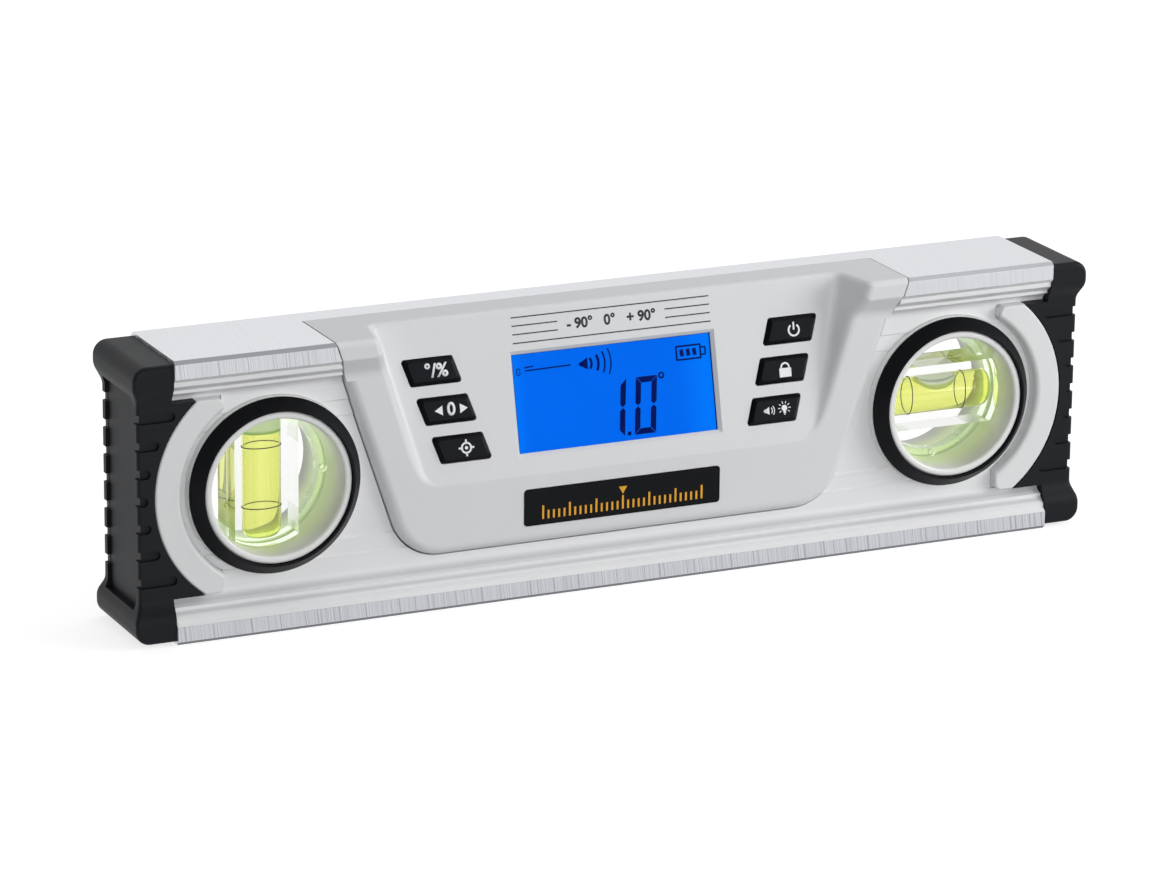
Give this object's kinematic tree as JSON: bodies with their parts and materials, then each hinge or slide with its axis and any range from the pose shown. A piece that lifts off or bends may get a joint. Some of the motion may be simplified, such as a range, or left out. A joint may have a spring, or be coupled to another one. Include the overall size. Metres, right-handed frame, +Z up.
{
  "type": "digital spirit level",
  "caption": "Short box-beam level with an upright and a level vial in round sleeves, a sloping backlit angle display with slanted keys between them, and rubber end bumpers.",
  "frame": {"origin": "middle of the lower measuring face", "axes": "+X along the beam to the level vial's end, the display faces -Y, +Z up to the upper measuring face"},
  "size_m": [0.25, 0.029, 0.0686],
  "materials": {
    "beam_aluminium": "white powder coat on the web, bare milled measuring faces",
    "magnet_nickel": "nickel plated",
    "plug_plastic": "fine satin",
    "bumper_rubber": "soft matte",
    "sleeve_white": "smooth white",
    "ring_black": "satin",
    "acrylic": "polished clear acrylic",
    "line_ink": "flat ink",
    "vial_liquid": "clear yellow-green liquid",
    "vial_bubble": "air bubble",
    "housing_plastic": "fine satin light grey",
    "label_black": "smooth black",
    "seal_rubber": "soft",
    "battery_wrap": "printed sleeve",
    "contact_steel": "nickel plated spring steel",
    "window_clear": "clear pane",
    "lcd_blue": "blue backlit display",
    "backlight_white": "milky light guide",
    "frame_white": "moulded",
    "board_green": "solder mask",
    "chip_black": "moulded epoxy",
    "key_black": "satin black",
    "plunger_red": "moulded",
    "screw_steel": "zinc plated"
  },
  "bodies": {
    "level": {"backlight": "backlight_white", "battery_left": "battery_wrap", "battery_right": "battery_wrap", "beam": "beam_aluminium", "board_screws": "screw_steel", "bumper_left": "bumper_rubber", "bumper_right": "bumper_rubber", "buzzer": "chip_black", "circuit_board": "board_green", "contact_plate": "contact_steel", "contact_spring": "contact_steel", "controller_chip": "chip_black", "display_window": "window_clear", "door_seal": "seal_rubber", "end_plug_left": "plug_plastic", "end_plug_right": "plug_plastic", "front_housing": "housing_plastic", "label_plate": "label_black", "lcd_frame": "frame_white", "lcd_panel": "lcd_blue", "magnets": "magnet_nickel", "module_screws": "screw_steel", "rear_housing": "housing_plastic", "ring_front_left": "ring_black", "ring_front_right": "ring_black", "ring_rear_left": "ring_black", "ring_rear_right": "ring_black", "sleeve_front_left": "sleeve_white", "sleeve_front_right": "sleeve_white", "sleeve_rear_left": "sleeve_white", "sleeve_rear_right": "sleeve_white", "switch_bodies": "chip_black", "tilt_sensor": "chip_black", "vial_body_left": "acrylic", "vial_body_right": "acrylic", "vial_lines_left": "line_ink", "vial_lines_right": "line_ink", "vial_liquid_left": "vial_liquid", "vial_liquid_right": "vial_liquid", "vial_plug_left": "acrylic", "vial_plug_right": "acrylic"},
    "key_unit": {"button_unit": "key_black", "plunger_unit": "plunger_red"},
    "key_reference": {"button_reference": "key_black", "plunger_reference": "plunger_red"},
    "key_calibrate": {"button_calibrate": "key_black", "plunger_calibrate": "plunger_red"},
    "key_power": {"button_power": "key_black", "plunger_power": "plunger_red"},
    "key_hold": {"button_hold": "key_black", "plunger_hold": "plunger_red"},
    "key_sound_light": {"button_sound_light": "key_black", "plunger_sound_light": "plunger_red"},
    "battery_cover": {"battery_door": "housing_plastic"},
    "bubble_left": {"vial_bubble_left": "vial_bubble"},
    "bubble_right": {"vial_bubble_right": "vial_bubble"}
  },
  "joints": [
    {"name": "unit_press", "type": "slide", "parent": "level", "child": "key_unit", "axis": [0, 0.9733, -0.2297], "range_m": [0, 0.0006], "stiffness_N_per_m": 2500},
    {"name": "reference_press", "type": "slide", "parent": "level", "child": "key_reference", "axis": [0, 0.9733, -0.2297], "range_m": [0, 0.0006], "stiffness_N_per_m": 2500},
    {"name": "calibrate_press", "type": "slide", "parent": "level", "child": "key_calibrate", "axis": [0, 0.9733, -0.2297], "range_m": [0, 0.0006], "stiffness_N_per_m": 2500},
    {"name": "power_press", "type": "slide", "parent": "level", "child": "key_power", "axis": [0, 0.9733, -0.2297], "range_m": [0, 0.0006], "stiffness_N_per_m": 2500},
    {"name": "hold_press", "type": "slide", "parent": "level", "child": "key_hold", "axis": [0, 0.9733, -0.2297], "range_m": [0, 0.0006], "stiffness_N_per_m": 2500},
    {"name": "sound_light_press", "type": "slide", "parent": "level", "child": "key_sound_light", "axis": [0, 0.9733, -0.2297], "range_m": [0, 0.0006], "stiffness_N_per_m": 2500},
    {"name": "cover_lift", "type": "slide", "parent": "level", "child": "battery_cover", "axis": [0, 1, 0], "range_m": [0, 0.025]},
    {"name": "bubble_right_slide", "type": "slide", "parent": "level", "child": "bubble_right", "axis": [1, 0, 0], "range_m": [-0.0065, 0.0065], "stiffness_N_per_m": 0.5, "deforming": ["vial_liquid_right"]},
    {"name": "bubble_left_slide", "type": "slide", "parent": "level", "child": "bubble_left", "axis": [0, 0, 1], "range_m": [-0.025, 0], "stiffness_N_per_m": 0.5, "springref_m": 0.03, "deforming": ["vial_liquid_left"]}
  ]
}
